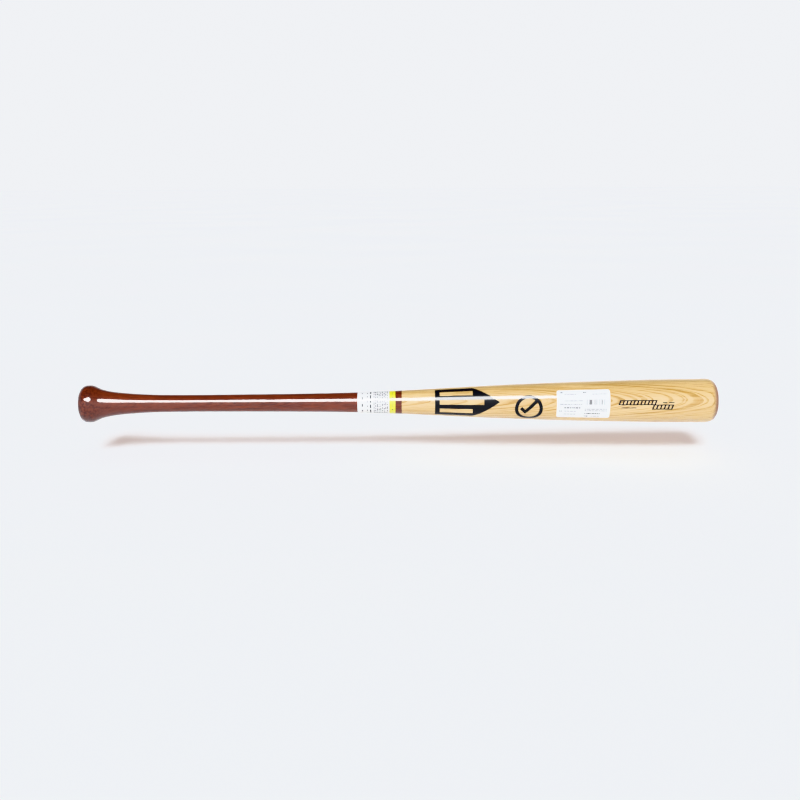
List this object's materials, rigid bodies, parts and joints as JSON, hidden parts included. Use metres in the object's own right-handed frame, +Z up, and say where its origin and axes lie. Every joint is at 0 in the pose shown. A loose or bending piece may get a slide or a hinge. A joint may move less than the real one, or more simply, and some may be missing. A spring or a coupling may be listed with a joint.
{
  "type": "baseball bat",
  "caption": "Solid turned wooden baseball bat with a rounded knob, stained handle, natural barrel, wrap label, price sticker and black foil marks.",
  "frame": {"origin": "centre of the knob's flat end, on the bat's axis", "axes": "+X along the bat's axis from the knob to the barrel's end, -Y out of the printed side, +Z up"},
  "size_m": [0.85, 0.0585, 0.0584],
  "materials": {
    "natural_ash": "clear-lacquered plain-sawn ash, semi-gloss",
    "stained_ash": "red-brown stained ash under gloss lacquer, on the knob and handle",
    "white_paper": "white coated paper with grey print",
    "yellow_paper": "yellow coated paper with small dark print",
    "black_foil": "black transfer foil under clear lacquer"
  },
  "bodies": {
    "root": {"bat_body": "natural_ash", "wrap_label": "white_paper", "caution_strip": "yellow_paper", "price_sticker": "white_paper", "maker_mark": "black_foil", "approval_mark": "black_foil", "model_name": "black_foil"}
  },
  "joints": []
}
